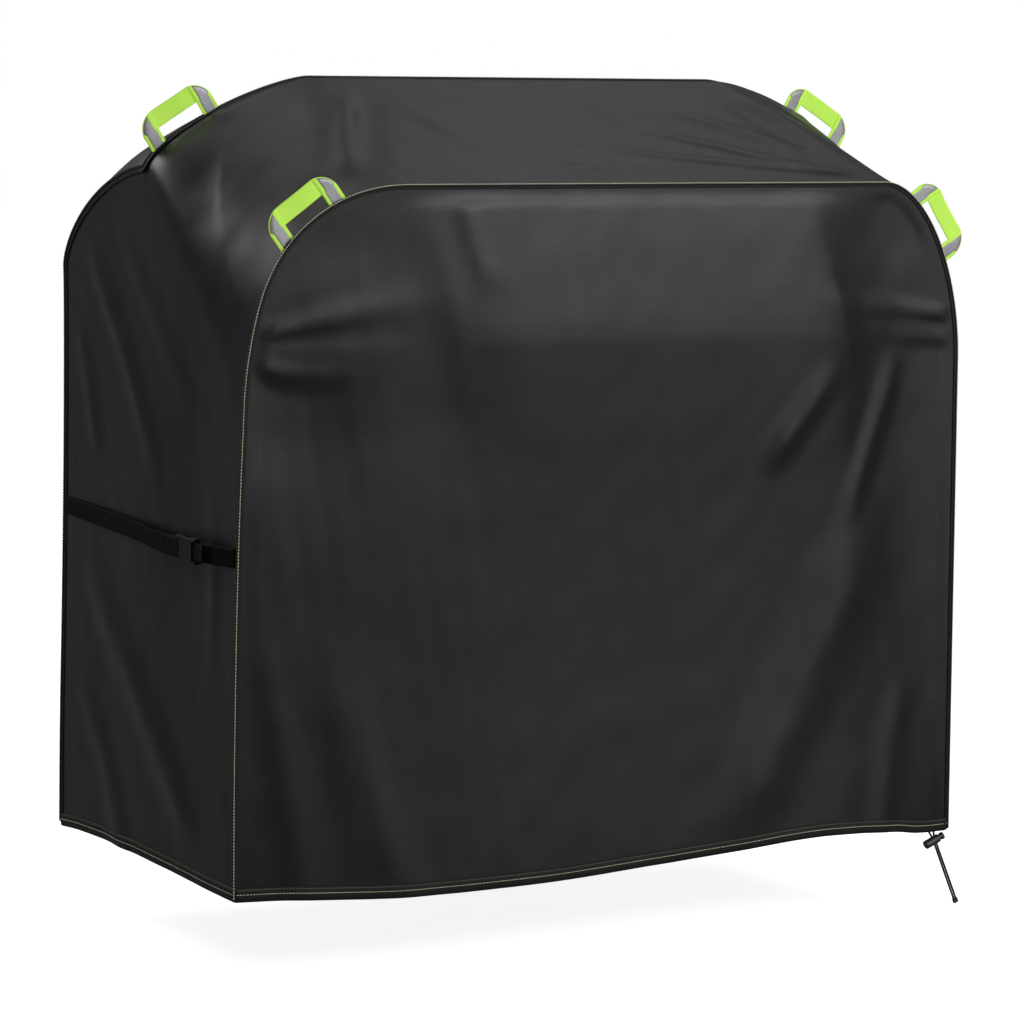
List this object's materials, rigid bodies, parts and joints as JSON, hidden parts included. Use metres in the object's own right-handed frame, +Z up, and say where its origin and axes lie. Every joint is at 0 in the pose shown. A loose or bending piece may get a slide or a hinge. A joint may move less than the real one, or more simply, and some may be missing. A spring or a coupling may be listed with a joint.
{
  "type": "grill cover",
  "caption": "Fitted fabric cover that drapes over a cart grill, with lime grab handles, buckled side straps and a drawcord hem with a cord lock.",
  "frame": {"origin": "centre of the flat underside of the ridge, where the grill lid carries the cover", "axes": "+X to the right along the width, -Y out of the front panel, +Z up"},
  "size_m": [1.1554, 0.6077, 1.1767],
  "materials": {
    "cover_cloth": "satin coated weave",
    "seam_binding": "bound seam",
    "hem_cloth": "folded coated weave",
    "lime_webbing": "woven webbing",
    "reflective_tape": "retroreflective grey",
    "black_webbing": "woven webbing",
    "black_plastic": "moulded satin",
    "black_cord": "braided",
    "spring_steel": "bright"
  },
  "bodies": {
    "root": {"back_seam_piping": "seam_binding", "back_slope": "cover_cloth", "back_wall": "cover_cloth", "buckle_socket_left": "black_plastic", "buckle_socket_right": "black_plastic", "cord_end_clip": "black_plastic", "cord_tail_corner": "black_cord", "cord_tail_front": "black_cord", "drawcord": "black_cord", "front_panel": "cover_cloth", "front_seam_piping": "seam_binding", "hem_channel": "hem_cloth", "left_side_wall": "cover_cloth", "right_side_wall": "cover_cloth", "roof_panel": "cover_cloth", "strap_back_left": "black_webbing", "strap_back_right": "black_webbing", "strap_front_left": "black_webbing", "strap_front_right": "black_webbing"},
    "handle_front_left": {"handle_front_left": "lime_webbing", "handle_front_left_tape_lower": "reflective_tape", "handle_front_left_tape_upper": "reflective_tape"},
    "handle_front_right": {"handle_front_right": "lime_webbing", "handle_front_right_tape_lower": "reflective_tape", "handle_front_right_tape_upper": "reflective_tape"},
    "handle_back_left": {"handle_back_left": "lime_webbing", "handle_back_left_tape_lower": "reflective_tape", "handle_back_left_tape_upper": "reflective_tape"},
    "handle_back_right": {"handle_back_right": "lime_webbing", "handle_back_right_tape_lower": "reflective_tape", "handle_back_right_tape_upper": "reflective_tape"},
    "clip_left": {"buckle_clip_left": "black_plastic", "strap_loop_left": "black_webbing"},
    "arm_upper_left": {"buckle_arm_upper_left": "black_plastic"},
    "arm_lower_left": {"buckle_arm_lower_left": "black_plastic"},
    "clip_right": {"buckle_clip_right": "black_plastic", "strap_loop_right": "black_webbing"},
    "arm_upper_right": {"buckle_arm_upper_right": "black_plastic"},
    "arm_lower_right": {"buckle_arm_lower_right": "black_plastic"},
    "cord_lock": {"cord_lock_barrel": "black_plastic", "cord_lock_spring": "spring_steel"},
    "lock_button": {"cord_lock_button": "black_plastic"}
  },
  "joints": [
    {"name": "handle_front_left_fold", "type": "hinge", "parent": "root", "child": "handle_front_left", "pos_m": [-0.4498, -0.2725, -0.18081], "axis": [0.8086, 0, 0.5883], "range_deg": [-45, 80]},
    {"name": "handle_front_right_fold", "type": "hinge", "parent": "root", "child": "handle_front_right", "pos_m": [0.51348, -0.2725, -0.19811], "axis": [0.5371, 0, -0.8435], "range_deg": [-45, 80]},
    {"name": "handle_back_left_fold", "type": "hinge", "parent": "root", "child": "handle_back_left", "pos_m": [-0.50213, 0.017, -0.06269], "axis": [0.8463, 0, 0.5328], "range_deg": [-80, 80]},
    {"name": "handle_back_right_fold", "type": "hinge", "parent": "root", "child": "handle_back_right", "pos_m": [0.49962, 0.017, -0.06105], "axis": [0.8501, 0, -0.5266], "range_deg": [-80, 80]},
    {"name": "clip_left_pull_out", "type": "slide", "parent": "root", "child": "clip_left", "axis": [0, 1, 0], "range_m": [0, 0.035]},
    {"name": "arm_upper_left_squeeze", "type": "hinge", "parent": "clip_left", "child": "arm_upper_left", "pos_m": [-0.5685, -0.1388, -0.606], "axis": [1, 0, 0], "range_deg": [0, 8], "stiffness_Nm_per_rad": 0.05, "springref_deg": -2.86},
    {"name": "arm_lower_left_squeeze", "type": "hinge", "parent": "clip_left", "child": "arm_lower_left", "pos_m": [-0.5685, -0.1388, -0.626], "axis": [1, 0, 0], "range_deg": [-8, 0], "stiffness_Nm_per_rad": 0.05, "springref_deg": 2.86},
    {"name": "clip_right_pull_out", "type": "slide", "parent": "root", "child": "clip_right", "axis": [0, 1, 0], "range_m": [0, 0.035]},
    {"name": "arm_upper_right_squeeze", "type": "hinge", "parent": "clip_right", "child": "arm_upper_right", "pos_m": [0.5685, -0.1388, -0.606], "axis": [1, 0, 0], "range_deg": [0, 8], "stiffness_Nm_per_rad": 0.05, "springref_deg": -2.86},
    {"name": "arm_lower_right_squeeze", "type": "hinge", "parent": "clip_right", "child": "arm_lower_right", "pos_m": [0.5685, -0.1388, -0.626], "axis": [1, 0, 0], "range_deg": [-8, 0], "stiffness_Nm_per_rad": 0.05, "springref_deg": 2.86},
    {"name": "cord_lock_slide", "type": "slide", "parent": "root", "child": "cord_lock", "axis": [0.3903, 0, -0.9207], "range_m": [0, 0.085]},
    {"name": "lock_button_press", "type": "slide", "parent": "cord_lock", "child": "lock_button", "axis": [-0.9207, 0, -0.3903], "range_m": [0, 0.004], "stiffness_N_per_m": 400, "springref_m": -0.003, "deforming": ["cord_lock_spring"]}
  ],
  "couplings": [
    {"joint": "arm_lower_left_squeeze", "follows": "arm_upper_left_squeeze", "ratio": -1},
    {"joint": "arm_lower_right_squeeze", "follows": "arm_upper_right_squeeze", "ratio": -1}
  ]
}
